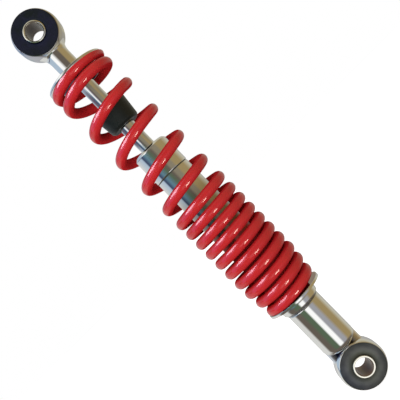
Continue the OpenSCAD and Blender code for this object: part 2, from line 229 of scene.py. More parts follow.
def radiusField(finish, along, centre, low, high):
    # the same by distance from an axis through centre
    tree = finish.node_tree
    flat = Vector((1, 1, 0)) if along == "Z" else Vector((1, 0, 1))
    mapping = addNode(tree, "ShaderNodeMapping", Scale=flat, Location=-(flat * Vector(centre)))
    length = addNode(tree, "ShaderNodeVectorMath", operation="LENGTH")
    tree.links.new(addNode(tree, "ShaderNodeTexCoord").outputs["Object"], mapping.inputs["Vector"])
    tree.links.new(mapping.outputs["Vector"], length.inputs[0])
    return spread(finish, length.outputs["Value"], 0, 1, low, high)


def outwardField(finish, low, high):
    # 0 on faces turned to the object's Z axis and 1 on faces turned away from it
    tree = finish.node_tree
    coords = addNode(tree, "ShaderNodeTexCoord")
    flat = addNode(tree, "ShaderNodeMapping", Scale=(1, 1, 0))
    away = addNode(tree, "ShaderNodeVectorMath", operation="NORMALIZE")
    facing = addNode(tree, "ShaderNodeVectorMath", operation="DOT_PRODUCT")
    tree.links.new(coords.outputs["Object"], flat.inputs["Vector"])
    tree.links.new(flat.outputs["Vector"], away.inputs[0])
    tree.links.new(away.outputs["Vector"], facing.inputs[0])
    tree.links.new(coords.outputs["Normal"], facing.inputs[1])
    return spread(finish, facing.outputs["Value"], 0, 1, low, high)


def tintBelow(finish, field, colour):
    # where the field is 0, the finish takes this colour
    tree = finish.node_tree
    socket = shaderOf(finish).inputs["Base Color"]
    mix = addNode(tree, "ShaderNodeMix", data_type="RGBA")
    mix.inputs[6].default_value = (*colour, 1)
    tree.links.new(field, mix.inputs["Factor"])
    tree.links.new(socket.links[0].from_socket, mix.inputs[7])
    tree.links.new(mix.outputs[2], socket)


def dullBelow(finish, field, specular):
    # where the field is 0, the finish is not bright metal: rust in the sleeve bores and painted shade on the
    # tube
    finish.node_tree.links.new(field, shaderOf(finish).inputs["Metallic"])
    shaderOf(finish).inputs["Specular IOR Level"].default_value = specular


def either(finish, first, second):
    # the larger of two fields
    tree = finish.node_tree
    larger = addNode(tree, "ShaderNodeMath", operation="MAXIMUM")
    tree.links.new(first, larger.inputs[0])
    tree.links.new(second, larger.inputs[1])
    return larger.outputs[0]


def colourRamp(finish, field, stops):
    # the field runs from 0 at the first stop to 1 at the last
    tree = finish.node_tree
    low, high = stops[0][0], stops[-1][0]
    ramp = addNode(tree, "ShaderNodeValToRGB")
    for count, (place, colour) in enumerate(stops):
        stop = ramp.color_ramp.elements[count] if count < 2 else ramp.color_ramp.elements.new(1.0)
        stop.position = (place - low) / (high - low)
        stop.color = (*colour, 1)
    tree.links.new(field, ramp.inputs["Fac"])
    return ramp.outputs["Color"]


def tintAlong(finish, axis, stops):
    # colours by place along an axis of the object
    colours = colourRamp(finish, placeField(finish, axis, stops[0][0], stops[-1][0]), stops)
    finish.node_tree.links.new(colours, shaderOf(finish).inputs["Base Color"])


def paintedLightOver(finish, colours):
    # painted shade and painted highlight over the finish's own colour
    tree = finish.node_tree
    socket = shaderOf(finish).inputs["Base Color"]
    mix = addNode(tree, "ShaderNodeMix", data_type="RGBA", blend_type="MULTIPLY")
    mix.inputs["Factor"].default_value = 1.0
    tree.links.new(socket.links[0].from_socket, mix.inputs[6])
    tree.links.new(colours, mix.inputs[7])
    tree.links.new(mix.outputs[2], socket)


def paintedLightAlong(finish, axis, stops):
    paintedLightOver(finish, colourRamp(finish, placeField(finish, axis, stops[0][0], stops[-1][0]), stops))


def paintedLightRings(finish, along, centre, stops):
    paintedLightOver(finish, colourRamp(finish, radiusField(finish, along, centre, stops[0][0], stops[-1][0]), stops))


def clouded(finish, cloud, first, second, roughness):
    # two colours in soft clouds, and a roughness that varies
    links, shader = finish.node_tree.links, shaderOf(finish)
    links.new(blendColours(finish, spread(finish, cloud, 0, 1), first, second), shader.inputs["Base Color"])
    links.new(roughness, shader.inputs["Roughness"])


metalSetup = {"roughGrain": 2.7, "roughDetail": 5, "waveDetail": 2, "waveDepth": 0.2 * mm}


def metalFinish(name, first, second, rough, grain, stretch=(1, 1, 1), waves=(30, 0.02), lines=(1, 1, 1)):
    setup = metalSetup
    finish, shader = newFinish(name, Metallic=1.0)
    roughField = noiseField(finish, grain * setup["roughGrain"], stretch, setup["roughDetail"])
    clouded(finish, noiseField(finish, grain, stretch), first, second, spread(finish, roughField, *rough))
    surface = noiseField(finish, waves[0], lines, setup["waveDetail"])
    roughen(finish, shader, surface, waves[1], setup["waveDepth"])
    return finish


rubberSetup = {
    "specular": 0.45, "bloomDetail": 4, "roughGrain": 3, "pores": 9, "poreDetail": 5, "poreStrength": 0.12,
    "poreDepth": 0.1 * mm,
}


def rubberFinish(name, first, second, rough, grain):
    setup = rubberSetup
    finish, shader = newFinish(name, Specular_IOR_Level=setup["specular"])
    roughField = noiseField(finish, grain * setup["roughGrain"])
    bloom = noiseField(finish, grain, detail=setup["bloomDetail"])
    clouded(finish, bloom, first, second, spread(finish, roughField, *rough))
    pores = noiseField(finish, grain * setup["pores"], detail=setup["poreDetail"])
    roughen(finish, shader, pores, setup["poreStrength"], setup["poreDepth"])
    return finish


paintSetup = {
    "coatRough": 0.08, "coatIor": 1.5, "specular": 0.0, "cloudGrain": 70, "cloudDetail": 4, "roughGrain": 300,
    "rough": (0.28, 0.4), "peelGrain": 420, "peelDetail": 2, "peelStrength": 0.004, "peelDepth": 0.1 * mm,
    "outward": (0.62, 0.86), "gloss": 0.9,
}


def paintFinish(name, first, second):
    setup = paintSetup
    finish, shader = newFinish(
        name, Coat_Roughness=setup["coatRough"], Coat_IOR=setup["coatIor"],
        Specular_IOR_Level=setup["specular"])
    cloud = noiseField(finish, setup["cloudGrain"], detail=setup["cloudDetail"])
    roughness = spread(finish, noiseField(finish, setup["roughGrain"]), *setup["rough"])
    clouded(finish, cloud, first, second, roughness)
    peel = noiseField(finish, setup["peelGrain"], detail=setup["peelDetail"])
    roughen(finish, shader, peel, setup["peelStrength"], setup["peelDepth"])
    # painted shade inside the coils: the coat's gloss is full on faces turned outward and none on faces turned
    # to the axis
    gloss = spread(finish, outwardField(finish, *setup["outward"]), 0, setup["gloss"], 0, 1)
    finish.node_tree.links.new(gloss, shader.inputs["Coat Weight"])
    return finish


plate = ((0.90, 0.90, 0.90), (0.86, 0.865, 0.87))
chromePlate, tubeChrome, lowSeatChrome = (
    metalFinish(name, *plate, (0.03, 0.07), 90, waves=(55, 0.03))
    for name in ("chromePlate", "tubeChrome", "lowSeatChrome")
)
eyeChrome = metalFinish(
    "eyeChrome", (0.68, 0.67, 0.665), (0.63, 0.62, 0.62), (0.04, 0.08), 90, waves=(55, 0.03)
)
weldChrome = metalFinish(
    "weldChrome", (0.36, 0.28, 0.27), (0.24, 0.16, 0.155), (0.2, 0.36), 240, waves=(150, 0.15)
)
rodChrome = metalFinish(
    "rodChrome", (0.88, 0.885, 0.90), (0.84, 0.85, 0.87), (0.05, 0.09), 120, waves=(40, 0.02), lines=(1, 1, 8)
)
seatChrome = metalFinish("seatChrome", *plate, (0.04, 0.08), 90, waves=(55, 0.02))
# one steel for both sleeves; the lower sleeve's copy is painted paler and warmer: a painted highlight
upperSleeveSteel = metalFinish(
    "upperSleeveSteel", (0.88, 0.87, 0.80), (0.82, 0.81, 0.75), (0.1, 0.16), 120, waves=(60, 0.01)
)
lowerSleeveSteel = metalFinish(
    "lowerSleeveSteel", (0.97, 0.94, 0.85), (0.92, 0.89, 0.80), (0.1, 0.16), 120, waves=(60, 0.01)
)
zincNut = metalFinish("zincNut", (0.70, 0.70, 0.67), (0.60, 0.60, 0.55), (0.25, 0.4), 350, waves=(200, 0.05))
drawnSteel = metalFinish(
    "drawnSteel", (0.56, 0.57, 0.58), (0.46, 0.47, 0.48), (0.25, 0.4), 200, (1, 1, 0.05), waves=(90, 0.08)
)
springSteel = metalFinish(
    "springSteel", (0.42, 0.42, 0.43), (0.30, 0.30, 0.31), (0.22, 0.38), 260, waves=(120, 0.06)
)
valveBronze = metalFinish(
    "valveBronze", (0.62, 0.44, 0.20), (0.50, 0.34, 0.15), (0.28, 0.45), 400, waves=(600, 0.1)
)
pistonAlloy = metalFinish(
    "pistonAlloy", (0.56, 0.57, 0.59), (0.46, 0.47, 0.49), (0.3, 0.45), 500, waves=(700, 0.1)
)
springPaint = paintFinish("springPaint", (0.53, 0.022, 0.024), (0.48, 0.019, 0.021))
upperRubber = rubberFinish("upperRubber", (0.002, 0.009, 0.014), (0.010, 0.011, 0.052), (0.45, 0.6), 150)
lowerRubber = rubberFinish("lowerRubber", (0.056, 0.061, 0.058), (0.105, 0.110, 0.100), (0.4, 0.55), 110)
stopRubber = rubberFinish("stopRubber", (0.003, 0.006, 0.005), (0.006, 0.009, 0.008), (0.38, 0.52), 160)
sealRubber = rubberFinish("sealRubber", (0.010, 0.010, 0.010), (0.018, 0.018, 0.018), (0.35, 0.5), 260)
bandPlastic = rubberFinish("bandPlastic", (0.40, 0.28, 0.16), (0.48, 0.35, 0.22), (0.5, 0.65), 300)
seamRubber = rubberFinish("seamRubber", (0.09, 0.10, 0.075), (0.11, 0.12, 0.09), (0.4, 0.5), 260)
print("finishes made:", len(bpy.data.materials))


# Eyes: chromed rings, rubber bushes and steel sleeves

eyeShape = {
    "bore": 13.0 * mm, "face": 15.45 * mm, "crown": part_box("upper_eye")[1].x,
    "halfWidth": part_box("upper_eye")[1].y, "flatHalf": 3.7 * mm, "steps": 8, "edge": 0.35 * mm,
}


def ringRadius(y):
    past = max(0.0, abs(y) - eyeShape["flatHalf"]) / (eyeShape["halfWidth"] - eyeShape["flatHalf"])
    return eyeShape["crown"] - (eyeShape["crown"] - eyeShape["face"]) * past ** 2


def eyeRing(name, at):
    half, flat, count = eyeShape["halfWidth"], eyeShape["flatHalf"], eyeShape["steps"]
    rise = [half - (half - flat) * k / count for k in range(count + 1)]
    outer = [(ringRadius(y), -y) for y in rise] + [(ringRadius(y), y) for y in reversed(rise)]
    ring = turnPiece(
        name, closeLoop([(eyeShape["bore"], -half)] + outer + [(eyeShape["bore"], half)]), "Y", at
    )
    roundEdges(ring, eyeShape["edge"])
    return ring


# painted light on the bushes' faces: a painted highlight in a ring (beside the sleeve on the upper bush,
# mid-face on the lower), painted shade towards the rim, and a bluish painted reflection towards -X
rubberPaintedLight = {
    "upper": [
        (7.3 * mm, (1.0, 1.0, 0.9)), (8.4 * mm, (0.75, 0.75, 0.70)), (10.0 * mm, (0.55, 0.55, 0.55)),
        (14.3 * mm, (0.50, 0.56, 0.46)), (15.2 * mm, (0.25, 0.30, 0.22)),
    ],
    "lower": [
        (7.3 * mm, (0.40, 0.42, 0.36)), (8.3 * mm, (0.62, 0.64, 0.54)), (10.2 * mm, (0.98, 1.0, 0.94)),
        (11.6 * mm, (0.86, 0.86, 0.86)), (12.9 * mm, (0.60, 0.60, 0.62)), (14.5 * mm, (0.50, 0.52, 0.54)),
        (15.2 * mm, (0.22, 0.24, 0.25)),
    ],
    "across": [(-15.0 * mm, (0.72, 0.76, 1.0)), (-2.0 * mm, (1.0, 1.0, 0.94)), (15.0 * mm, (1.0, 1.0, 1.0))],
}
bushShape = {
    "inner": 7.36 * mm, "lining": 12.98 * mm, "lip": 15.2 * mm, "lipFrom": eyeShape["halfWidth"] + 0.02 * mm,
    "half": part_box("upper_bush")[1].y, "steps": 16,
    "upper": {"crownSag": 0.08 * mm, "edgeRound": 0.6 * mm, "grooveDepth": 0.5 * mm, "grooveWidth": 0.6 * mm},
    "lower": {"crownSag": 0.7 * mm, "edgeRound": 0.4 * mm, "grooveDepth": 0.9 * mm, "grooveWidth": 0.8 * mm},
}


def rubberBush(name, at, style):
    shape, look = bushShape, bushShape[style]
    inside, outside, count = shape["inner"] + look["grooveWidth"], shape["lip"], shape["steps"]
    middle, reach = (inside + outside) / 2, (outside - inside) / 2
    face = []
    for k in range(count + 1):
        radius = inside + (outside - inside) * k / count
        face.append((radius, shape["half"] - look["crownSag"] * ((radius - middle) / reach) ** 2))
    side = [(shape["inner"], 0.0), (shape["inner"], shape["half"] - look["grooveDepth"])] + face
    side += [(shape["lip"], shape["lipFrom"]), (shape["lining"], shape["lipFrom"]), (shape["lining"], 0.0)]
    other = [(radius, -place) for radius, place in reversed(side[1:-1])]
    bush = turnPiece(name, closeLoop(side + other), "Y", at)
    roundEdges(bush, look["edgeRound"], segments=4, fromAngle=40)
    return bush


sleeveShape = {
    "bore": 6.0 * mm, "outer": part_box("lower_sleeve")[1].x, "half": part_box("lower_sleeve")[1].y,
    "edge": 0.08 * mm,
    "upper": {"rimInner": 6.7 * mm, "rimOuter": 6.72 * mm, "boreDrop": 0.75 * mm, "outerDrop": 0.26 * mm},
    "lower": {"rimInner": 6.15 * mm, "rimOuter": 7.1 * mm, "boreDrop": 0.15 * mm, "outerDrop": 0.25 * mm},
}


def steelSleeve(name, at, style):
    shape, rim = sleeveShape, sleeveShape[style]
    half = shape["half"]
    end = [
        (shape["bore"], rim["boreDrop"] - half), (rim["rimInner"], -half), (rim["rimOuter"], -half),
        (shape["outer"], rim["outerDrop"] - half)
    ]
    sleeve = turnPiece(name, closeLoop(end + [(radius, -place) for radius, place in reversed(end)]), "Y", at)
    roundEdges(sleeve, shape["edge"], segments=2, fromAngle=15)
    return sleeve


neckShape = {
    "radius": 7.5 * mm, "endEdge": 0.4 * mm, "threadBore": 5.52 * mm, "threadEnd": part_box("piston_rod")[1].z,
    "reachAcross": 11.3 * mm, "reachAlong": 8.45 * mm, "rows": 12, "rowHeight": 1.0 * mm, "sunk": 0.6 * mm,
    "rimSunk": 0.2 * mm,
}
nearBy = {"bore": 0.1 * mm, "end": 0.01 * mm, "slope": 0.01 * mm, "row": 0.01}


def ringUnderside(x, y):
    # depth of the ring's outer face under the eye's middle, and its slope outward
    radius, outward = ringRadius(y), math.hypot(x, y)
    step = 1 + nearBy["slope"] / outward
    depth = math.sqrt(radius ** 2 - x ** 2)
    return depth, (depth - math.sqrt(ringRadius(y * step) ** 2 - (x * step) ** 2)) / nearBy["slope"]


def eyeNeck(name, at, foot):
    shape = neckShape
    radius, rows, rowHeight = shape["radius"], shape["rows"], shape["rowHeight"]
    bore, threadEnd, endEdge = shape["threadBore"], shape["threadEnd"], shape["endEdge"]
    blankLow = at.z - 2 * eyeShape["crown"]
    outline = [
        (0.0, threadEnd), (bore, threadEnd), (bore, foot), (radius - endEdge, foot), (radius, foot + endEdge)
    ]
    outline += [
        (radius, blankLow + k * rowHeight) for k in range(rows + 1)
    ] + [(0.0, blankLow + rows * rowHeight)]
    neck = turnPiece(name, outline)
    # the blank's upper rows are drawn out into a hollow flare that runs into the ring's round side
    for vertex in neck.data.vertices:
        share = (vertex.co.z - blankLow) / (rows * rowHeight)
        outFrom = math.hypot(vertex.co.x, vertex.co.y)
        inBore = abs(outFrom - bore) < nearBy["bore"] or abs(vertex.co.z - threadEnd) < nearBy["end"]
        if share < -nearBy["row"] or inBore:
            continue
        angle = math.atan2(vertex.co.y, vertex.co.x)
        across, along = math.cos(angle) / shape["reachAcross"], math.sin(angle) / shape["reachAlong"]
        reach = 1 / math.hypot(across, along)
        depth, slope = ringUnderside(reach * math.cos(angle), reach * math.sin(angle))
        bend = -depth - slope * (reach - radius)
        start = bend - math.hypot(reach - radius, slope * (reach - radius))
        outward = radius + (reach - radius) * share ** 2
        height = (1 - share) ** 2 * start + 2 * share * (1 - share) * bend - share ** 2 * depth
        if outFrom < radius / 2:
            outward, height = 0.0, shape["sunk"] - eyeShape["crown"]
        if share > 1 - nearBy["row"]:
            height += shape["rimSunk"]
        vertex.co = (outward * math.cos(angle), outward * math.sin(angle), at.z + height)
    return neck


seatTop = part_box("upper_spring_seat")[1].z
# painted shade and painted reflection: the upper eye's chrome is darker than the other chrome, bluish towards
# -X and warm towards +X
eyePaintedReflection = [(-14 * mm, (0.50, 0.51, 0.60)), (0.0, (0.55, 0.54, 0.56)), (14 * mm, (0.56, 0.52, 0.43))]

upperRing = eyeRing("upperEye", eyeAt["upper_eye"])
upperNeck = eyeNeck("upperNeck", eyeAt["upper_eye"], seatTop)
lowerRing = eyeRing("lowerEye", eyeAt["lower_eye"])
for piece in (upperRing, upperNeck, lowerRing):
    shadeSmooth(piece)
tintAlong(eyeChrome, "X", eyePaintedReflection)
finishPiece(upperRing, "rod_assembly", "chrome_plate", eyeChrome, "upper_eye")
finishPiece(upperNeck, "rod_assembly", "chrome_plate", chromePlate)
finishPiece(lowerRing, "damper_body", "chrome_plate", chromePlate, "lower_eye")

# painted highlight, painted shade and painted reflection on the bushes' faces
for eye, rubber in (("upper", upperRubber), ("lower", lowerRubber)):
    paintedLightRings(rubber, "Y", eyeAt[eye + "_eye"], rubberPaintedLight[eye])
    paintedLightAlong(rubber, "X", rubberPaintedLight["across"])
upperBush = rubberBush("upperBush", eyeAt["upper_eye"], "upper")
lowerBush = rubberBush("lowerBush", eyeAt["lower_eye"], "lower")
boreStain = {
    "upper": (0.14, 0.10, 0.055), "lower": (0.24, 0.12, 0.05), "from": 6.02 * mm, "to": 6.1 * mm,
    "specular": 0.15,
}
for eye, steel in (("upper", upperSleeveSteel), ("lower", lowerSleeveSteel)):
    boreField = radiusField(steel, "Y", eyeAt[eye + "_eye"], boreStain["from"], boreStain["to"])
    tintBelow(steel, boreField, boreStain[eye])
    dullBelow(steel, boreField, boreStain["specular"])
upperSleeve = steelSleeve("upperSleeve", eyeAt["upper_eye"], "upper")
lowerSleeve = steelSleeve("lowerSleeve", eyeAt["lower_eye"], "lower")
for piece in (upperBush, lowerBush, upperSleeve, lowerSleeve):
    shadeSmooth(piece)
finishPiece(upperBush, "rod_assembly", "upper_bush_rubber", upperRubber, "upper_bush")
finishPiece(lowerBush, "damper_body", "lower_bush_rubber", lowerRubber, "lower_bush")
finishPiece(upperSleeve, "upper_sleeve", "sleeve_steel", upperSleeveSteel, "upper_sleeve")
finishPiece(lowerSleeve, "lower_sleeve", "sleeve_steel", lowerSleeveSteel, "lower_sleeve")
print("eyes made")


# Damper body: tube, weld, snap ring, gland cap and wiper

tubeShape = {
    "radius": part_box("body_tube")[1].x, "bore": 11.05 * mm, "corner": 5.5 * mm, "floor": 3.0 * mm,
    "groove": 0.47 * mm, "shoulder": 1.4 * mm
}
tubeLow, tubeHigh = (corner.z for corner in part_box("body_tube"))
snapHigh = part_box("seat_snap_ring")[1].z
snapShape = {"wire": 0.42 * mm, "proud": 0.3 * mm, "gap": 30, "sides": 24, "steps": 110, "edge": 0.2 * mm}
snapAt = snapHigh - snapShape["wire"]


def damperTube():
    shape = tubeShape
    radius, corner = shape["radius"], shape["corner"]
    bottom = arcSpots((radius - corner, tubeLow + corner), corner, -90, 0, count=14)
    # the groove's lower side is a rounded shoulder
    shoulder, grooveDeep = shape["shoulder"], radius - shape["groove"]
    roundTo = math.degrees(math.acos(1 - shape["groove"] / shoulder))
    grooveLow = snapHigh - 2 * snapShape["wire"]
    groove = arcSpots(
        (radius - shoulder, grooveLow - shoulder * math.sin(math.radians(roundTo))), shoulder, 0, roundTo,
        count=8
    )
    groove += [(grooveDeep, snapHigh), (radius, snapHigh)]
    inside = [
        (shape["bore"], tubeHigh), (shape["bore"], tubeLow + corner),
        (radius - corner, tubeLow + shape["floor"]), (0.0, tubeLow + shape["floor"])
    ]
    return turnPiece("damperTube", [(0.0, tubeLow)] + bottom + groove + [(radius, tubeHigh)] + inside)


weldShape = {
    "halfLength": 12.5 * mm, "halfWidth": 7.2 * mm, "topLength": 12.45 * mm, "topWidth": 7.4 * mm,
    "hollow": 0.03, "loops": 8, "corners": 128, "sunkInRing": 0.3 * mm, "sunkInTube": 0.2 * mm,
}


def tubeUnderside(x, y):
    radius, corner = tubeShape["radius"], tubeShape["corner"]
    past = max(0.0, math.hypot(x, y) - (radius - corner))
    return tubeLow + corner - math.sqrt(max(0.0, corner ** 2 - min(past, corner) ** 2))


def eyeWeld():
    shape = weldShape
    startFresh()
    bpy.ops.mesh.primitive_circle_add(
        vertices=shape["corners"], radius=shape["halfLength"], fill_type="NOTHING"
    )
    weld = bpy.context.object
    weld.name = weld.data.name = "eyeWeld"
    bpy.ops.object.mode_set(mode="EDIT")
    bpy.ops.mesh.select_all(action="SELECT")
    for k in range(shape["loops"]):
        bpy.ops.mesh.extrude_region_move(TRANSFORM_OT_translate={"value": (0, 0, mm)})
    bpy.ops.object.mode_set(mode="OBJECT")
    for vertex in weld.data.vertices:
        share = round(vertex.co.z / mm) / shape["loops"]
        angle = math.atan2(vertex.co.y, vertex.co.x)
        waist = 1 - shape["hollow"] * share * (1 - share)
        x = math.cos(angle) * waist * (
            shape["halfLength"] + (shape["topLength"] - shape["halfLength"]) * share
        )
        y = math.sin(angle) * waist * (shape["halfWidth"] + (shape["topWidth"] - shape["halfWidth"]) * share)
        low = math.sqrt(ringRadius(y) ** 2 - x ** 2) - shape["sunkInRing"]
        high = tubeUnderside(x, y) + shape["sunkInTube"]
        vertex.co = (x, y, low + (high - low) * share)
    bpy.ops.object.mode_set(mode="EDIT")
    bpy.ops.mesh.select_all(action="SELECT")
    bpy.ops.mesh.fill_holes(sides=0)
    bpy.ops.object.mode_set(mode="OBJECT")
    return weld


def snapRing():
    shape = snapShape
    radius = tubeShape["radius"] + shape["proud"] - shape["wire"]
    start = math.radians(90 + shape["gap"] / 2)
    spot = (radius * math.cos(start), radius * math.sin(start), snapAt)
    startFresh()
    bpy.ops.mesh.primitive_circle_add(
        vertices=shape["sides"], radius=shape["wire"], fill_type="NGON", location=spot,
        rotation=(math.pi / 2, 0, start))
    ring = bpy.context.object
    ring.name = ring.data.name = "seatSnapRing"
    bpy.ops.object.transform_apply(location=True, rotation=True, scale=True)
    bpy.ops.object.mode_set(mode="EDIT")
    bpy.ops.mesh.select_all(action="SELECT")
    turn = math.radians(360 - shape["gap"])
    bpy.ops.mesh.spin(steps=shape["steps"], angle=turn, center=(0, 0, snapAt), axis=(0, 0, 1))
    tidyMesh()
    bpy.ops.object.mode_set(mode="OBJECT")
    roundEdges(ring, shape["edge"], segments=2, fromAngle=50)
    return ring


capShape = {
    "radius": 12.8 * mm, "chamfer": 1.6 * mm, "spigot": 11.03 * mm, "wiperSeat": 7.52 * mm, "web": 5.8 * mm,
    "sealBore": 8.52 * mm, "height": 21.6 * mm, "wiperDepth": 4.5 * mm, "webDepth": 8.5 * mm,
    "edge": 0.35 * mm
}
capLow, capHigh = (corner.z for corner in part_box("gland_cap"))


def glandCap():
    shape = capShape
    base = capHigh - shape["height"]
    outline = [
        (shape["sealBore"], capLow), (shape["spigot"], capLow), (shape["spigot"], base),
        (shape["radius"], base), (shape["radius"], capHigh - shape["chamfer"]),
        (shape["radius"] - shape["chamfer"], capHigh), (shape["wiperSeat"], capHigh),
        (shape["wiperSeat"], capHigh - shape["wiperDepth"]), (shape["web"], capHigh - shape["wiperDepth"]),
        (shape["web"], capHigh - shape["webDepth"]), (shape["sealBore"], capHigh - shape["webDepth"]),
    ]
    cap = turnPiece("glandCap", closeLoop(outline))
    roundEdges(cap, shape["edge"])
    return cap


wiperShape = {
    "outer": 7.5 * mm, "inner": 5.62 * mm, "lip": 5.56 * mm, "lipWidth": 0.6 * mm, "lipHeight": 0.4 * mm,
    "edge": 0.12 * mm
}


def dustWiper():
    shape = wiperShape
    base = capHigh - capShape["wiperDepth"]
    outline = [
        (shape["inner"], base), (shape["outer"], base), (shape["outer"], capHigh),
        (shape["lip"] + 2 * shape["lipWidth"], capHigh),
        (shape["lip"] + shape["lipWidth"], capHigh + shape["lipHeight"]),
        (shape["lip"], capHigh + shape["lipHeight"]), (shape["lip"], capHigh)
    ]
    wiper = turnPiece("dustWiper", closeLoop(outline), steps=96)
    roundEdges(wiper, shape["edge"], segments=2)
    return wiper


# painted reflection across the weld: pale bluish at -X, dark through the middle and pale warm at +X
weldPaintedReflection = [
    (-12.0 * mm, (0.8, 0.85, 0.95)), (-7.5 * mm, (0.02, 0.03, 0.1)), (0.0, (0.1, 0.05, 0.05)),
    (6.0 * mm, (0.025, 0.02, 0.015)), (11.0 * mm, (0.8, 0.75, 0.7)),
]
# painted shade on the tube inside the close coils: dark red with the coils' reflection, and dull instead of
# bright metal
paintedShadeEnds = {"low": (62.0 * mm, 60.5 * mm), "high": (108.0 * mm, 130.0 * mm)}
tubePaintedShade = [
    (60.5 * mm, (1.0, 1.0, 1.0)), (62.0 * mm, (0.80, 0.06, 0.06)), (108.0 * mm, (0.70, 0.06, 0.06)),
    (128.0 * mm, (0.20, 0.13, 0.10)), (150.0 * mm, (0.62, 0.58, 0.52)), (164.0 * mm, (1.0, 1.0, 1.0)),
]
paintedLightAlong(tubeChrome, "Z", tubePaintedShade)
bright = either(tubeChrome, *(placeField(tubeChrome, "Z", *paintedShadeEnds[end]) for end in ("low", "high")))
dullBelow(tubeChrome, bright, specular=0.0)
tintAlong(weldChrome, "X", weldPaintedReflection)
tube, weld, snap, cap, wiper = damperTube(), eyeWeld(), snapRing(), glandCap(), dustWiper()
for piece in (tube, weld, snap, cap, wiper):
    shadeSmooth(piece)
finishPiece(tube, "damper_body", "chrome_plate", tubeChrome, "body_tube")
finishPiece(weld, "damper_body", "chrome_plate", weldChrome)
finishPiece(snap, "damper_body", "spring_steel", springSteel, "seat_snap_ring")
finishPiece(cap, "damper_body", "chrome_plate", chromePlate, "gland_cap")
finishPiece(wiper, "damper_body", "seal_rubber", sealRubber, "dust_wiper")
print("damper body made")


# Spring seats, lock nut, rod and bump stop

lowerSeatShape = {
    "bore": 12.61 * mm, "collar": 14.2 * mm, "collarFoot": 14.08 * mm,
    "flange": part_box("lower_spring_seat")[1].x, "flangeThick": 1.7 * mm, "fillet": 1.5 * mm,
    "footRound": 1.4 * mm, "edge": 0.45 * mm,
}
lowerSeatLow, lowerSeatHigh = (corner.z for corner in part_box("lower_spring_seat"))


def lowerSeat():
    shape = lowerSeatShape
    under = lowerSeatHigh - shape["flangeThick"]
    collar, fillet, foot = shape["collar"], shape["fillet"], shape["footRound"]
    # the collar's side bulges a little between its rounded foot and the fillet under the flange
    bulge, half = collar - shape["collarFoot"], (under - fillet - lowerSeatLow - foot) / 2
    bulgeRadius = (bulge ** 2 + half ** 2) / (2 * bulge)
    lean = math.degrees(math.asin(half / bulgeRadius))
    outline = [(shape["bore"], lowerSeatLow)]
    outline += arcSpots((shape["collarFoot"] - foot, lowerSeatLow + foot), foot, -90, -lean, count=6)
    outline += arcSpots(
        (collar - bulgeRadius, lowerSeatLow + foot + half), bulgeRadius, -lean, lean, count=10
    )
    outline += arcSpots((shape["collarFoot"] + fillet, under - fillet), fillet, 180 - lean, 90, count=6)
    outline += [(shape["flange"], under), (shape["flange"], lowerSeatHigh), (shape["bore"], lowerSeatHigh)]
    seat = turnPiece("lowerSpringSeat", closeLoop(outline))
    roundEdges(seat, shape["edge"], fromAngle=45)
    return seat


upperSeatShape = {
    "bore": 5.52 * mm, "radius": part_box("upper_spring_seat")[1].x, "thick": 2.0 * mm, "spigot": 15.15 * mm,
    "wall": 1.6 * mm, "edge": 0.5 * mm
}
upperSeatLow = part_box("upper_spring_seat")[0].z


def upperSeat():
    shape = upperSeatShape
    under = seatTop - shape["thick"]
    inside = shape["spigot"] - shape["wall"]
    outline = [
        (shape["bore"], under), (inside, under), (inside, upperSeatLow), (shape["spigot"], upperSeatLow),
        (shape["spigot"], under), (shape["radius"], under), (shape["radius"], seatTop),
        (shape["bore"], seatTop)
    ]
    seat = turnPiece("upperSpringSeat", closeLoop(outline))
    roundEdges(seat, shape["edge"])
    return seat


nutShape = {"across": 17.0 * mm, "bore": 5.52 * mm, "chamfer": 30, "blankOver": 1.02, "barPast": 1.0 * mm}


def lockNut(low, high):
    shape = nutShape
    corner = shape["across"] / 2 / math.cos(math.pi / 6)
    startFresh()
    bpy.ops.mesh.primitive_cylinder_add(
        vertices=6, radius=corner, depth=high - low, end_fill_type="NGON", location=(0, 0, (low + high) / 2))
    nut = bpy.context.object
    nut.name = nut.data.name = "rodLockNut"
    bpy.ops.object.transform_apply(location=True, rotation=True, scale=True)
    # a turned blank rounds the corners, and a bar clears the thread
    flat, over, past = shape["across"] / 2, corner * shape["blankOver"], shape["barPast"]
    slope = (corner - flat) * math.tan(math.radians(shape["chamfer"]))
    blankLine = [
        (0.0, low), (flat, low), (over, low + slope), (over, high - slope), (flat, high), (0.0, high)
    ]
    barLine = [
        (0.0, low - past), (shape["bore"], low - past), (shape["bore"], high + past), (0.0, high + past)
    ]
    blank, bar = turnPiece("nutBlank", blankLine), turnPiece("nutBore", barLine, steps=64)
    for tool, how in ((blank, "INTERSECT"), (bar, "DIFFERENCE")):
        pick(nut)
        bpy.ops.object.modifier_add(type="BOOLEAN")
        cut = nut.modifiers[-1]
        cut.operation = how
        cut.object = tool
        cut.solver = "EXACT"
        bpy.ops.object.modifier_apply(modifier=cut.name)
        bpy.data.objects.remove(tool)
    return nut


rodShape = {
    "radius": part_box("piston_rod")[1].x, "endRadius": 4.0 * mm, "clipGroove": 0.6 * mm, "edge": 0.3 * mm
}
rodLow, rodHigh = (corner.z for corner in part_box("piston_rod"))
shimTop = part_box("rebound_shims")[1].z
clipLow, clipHigh = (corner.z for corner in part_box("rebound_clip"))


def pistonRod():
    shape = rodShape
    radius, end = shape["radius"], shape["endRadius"]
    outline = [
        (0.0, rodLow), (end, rodLow), (end, shimTop), (radius, shimTop), (radius, clipLow),
        (radius - shape["clipGroove"], clipLow), (radius - shape["clipGroove"], clipHigh), (radius, clipHigh),
        (radius, rodHigh), (0.0, rodHigh)
    ]
    rod = turnPiece("pistonRod", outline)
    roundEdges(rod, shape["edge"], segments=2)
    return rod


stopShape = {
    "bore": 5.56 * mm, "low": 11.0 * mm, "high": 12.7 * mm, "chamfer": 1.3 * mm, "edge": 0.35 * mm,
    "boreFlare": 0.8 * mm
}
stopLow, stopHigh = (corner.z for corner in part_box("bump_stop"))


